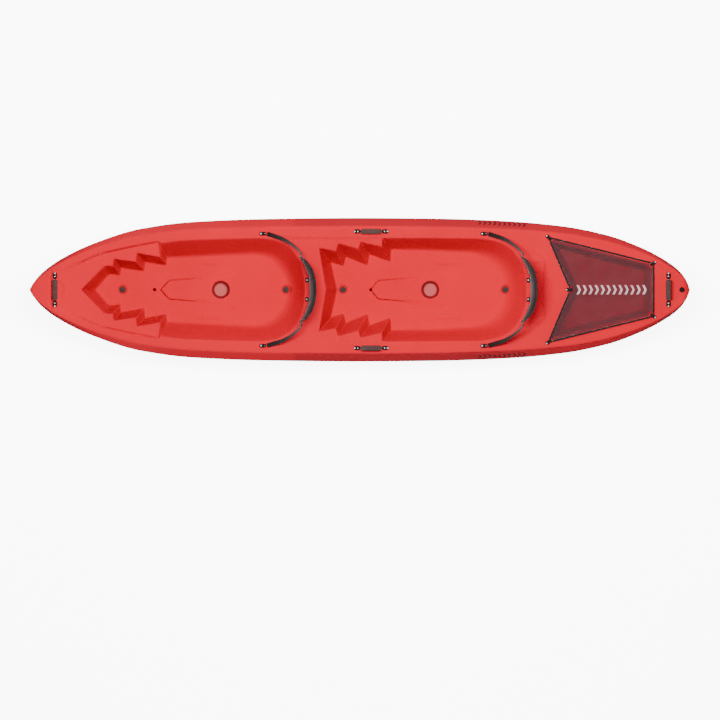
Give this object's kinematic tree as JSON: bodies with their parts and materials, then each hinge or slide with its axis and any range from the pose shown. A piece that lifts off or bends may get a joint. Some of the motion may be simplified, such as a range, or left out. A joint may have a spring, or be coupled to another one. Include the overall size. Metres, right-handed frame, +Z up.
{
  "type": "tandem sit-on-top kayak",
  "caption": "Rotomoulded two-seat sit-on-top kayak with folding backrests, carry handles, scupper plugs and a mesh-covered cargo well.",
  "frame": {"origin": "under the middle of the boat, on the surface that the keel rests on", "axes": "+X towards the stern, +Y to starboard, +Z up"},
  "size_m": [3.76, 0.82, 0.523],
  "materials": {
    "hull_plastic": "rotomoulded polyethylene, satin with a fine orange peel",
    "black_plastic": "moulded nylon, fine texture",
    "grip_rubber": "moulded rubber, ribbed",
    "plug_rubber": "soft rubber",
    "webbing": "woven polypropylene webbing",
    "backrest_fabric": "woven polyester over foam, bound edge",
    "mesh": "open woven mesh",
    "hem_fabric": "folded polyester binding",
    "shock_cord": "braided elastic cord",
    "stainless_screws": "stainless steel, pan head"
  },
  "bodies": {
    "boat": {"hull": "hull_plastic", "drain_socket": "black_plastic", "bow_handle_pads": "black_plastic", "stern_handle_pads": "black_plastic", "port_handle_pads": "black_plastic", "starboard_handle_pads": "black_plastic", "handle_screws": "stainless_screws", "front_backrest_flap": "backrest_fabric", "rear_backrest_flap": "backrest_fabric", "flap_screws": "stainless_screws", "front_port_strap": "webbing", "front_starboard_strap": "webbing", "rear_port_strap": "webbing", "rear_starboard_strap": "webbing", "front_strap_anchors": "black_plastic", "rear_strap_anchors": "black_plastic", "anchor_screws": "stainless_screws", "cargo_bungee": "shock_cord", "cargo_hooks": "black_plastic", "cargo_hook_screws": "stainless_screws", "mesh_hem": "hem_fabric", "cargo_mesh": "mesh"},
    "front_backrest_body": {"front_backrest": "backrest_fabric", "front_backrest_board": "black_plastic", "front_strap_buckles": "black_plastic"},
    "rear_backrest_body": {"rear_backrest": "backrest_fabric", "rear_backrest_board": "black_plastic", "rear_strap_buckles": "black_plastic"},
    "bow_handle": {"bow_handle_strap": "webbing", "bow_handle_grip": "grip_rubber"},
    "stern_handle": {"stern_handle_strap": "webbing", "stern_handle_grip": "grip_rubber"},
    "port_handle": {"port_handle_strap": "webbing", "port_handle_grip": "grip_rubber"},
    "starboard_handle": {"starboard_handle_strap": "webbing", "starboard_handle_grip": "grip_rubber"},
    "front_footwell_bung": {"front_footwell_plug": "plug_rubber"},
    "front_seat_bung": {"front_seat_plug": "plug_rubber"},
    "rear_footwell_bung": {"rear_footwell_plug": "plug_rubber"},
    "rear_seat_bung": {"rear_seat_plug": "plug_rubber"},
    "gasket": {"drain_gasket": "plug_rubber"},
    "turn_plug": {"drain_plug": "black_plastic"}
  },
  "joints": [
    {"name": "front_backrest_fold", "type": "hinge", "parent": "boat", "child": "front_backrest_body", "pos_m": [-0.292, 0, 0.324], "axis": [0, -1, 0], "range_deg": [0, 70], "deforming": ["front_port_strap", "front_starboard_strap"]},
    {"name": "rear_backrest_fold", "type": "hinge", "parent": "boat", "child": "rear_backrest_body", "pos_m": [0.968, 0, 0.333], "axis": [0, -1, 0], "range_deg": [0, 70], "deforming": ["rear_port_strap", "rear_starboard_strap"]},
    {"name": "bow_handle_swing", "type": "hinge", "parent": "boat", "child": "bow_handle", "pos_m": [-1.736, 0, 0.4125], "axis": [0, 1, 0], "range_deg": [-12, 60]},
    {"name": "stern_handle_swing", "type": "hinge", "parent": "boat", "child": "stern_handle", "pos_m": [1.758, 0, 0.3655], "axis": [0, 1, 0], "range_deg": [-60, 60]},
    {"name": "port_handle_swing", "type": "hinge", "parent": "boat", "child": "port_handle", "pos_m": [0.065, -0.332, 0.3355], "axis": [1, 0, 0], "range_deg": [-60, 60]},
    {"name": "starboard_handle_swing", "type": "hinge", "parent": "boat", "child": "starboard_handle", "pos_m": [0.065, 0.332, 0.3355], "axis": [1, 0, 0], "range_deg": [-60, 60]},
    {"name": "front_footwell_plug_pull", "type": "slide", "parent": "boat", "child": "front_footwell_bung", "axis": [0, 0, 1], "range_m": [0, 0.06]},
    {"name": "front_seat_plug_pull", "type": "slide", "parent": "boat", "child": "front_seat_bung", "axis": [0, 0, 1], "range_m": [0, 0.06]},
    {"name": "rear_footwell_plug_pull", "type": "slide", "parent": "boat", "child": "rear_footwell_bung", "axis": [0, 0, 1], "range_m": [0, 0.06]},
    {"name": "rear_seat_plug_pull", "type": "slide", "parent": "boat", "child": "rear_seat_bung", "axis": [0, 0, 1], "range_m": [0, 0.06]},
    {"name": "drain_lift", "type": "slide", "parent": "boat", "child": "gasket", "axis": [0, 0, 1], "range_m": [0, 0.018]},
    {"name": "drain_turn", "type": "hinge", "parent": "gasket", "child": "turn_plug", "pos_m": [1.835, 0, 0.36], "axis": [0, 0, 1], "range_deg": [0, 1440]}
  ],
  "couplings": [
    {"joint": "drain_turn", "follows": "drain_lift", "rad_per_m": 1396.3}
  ]
}
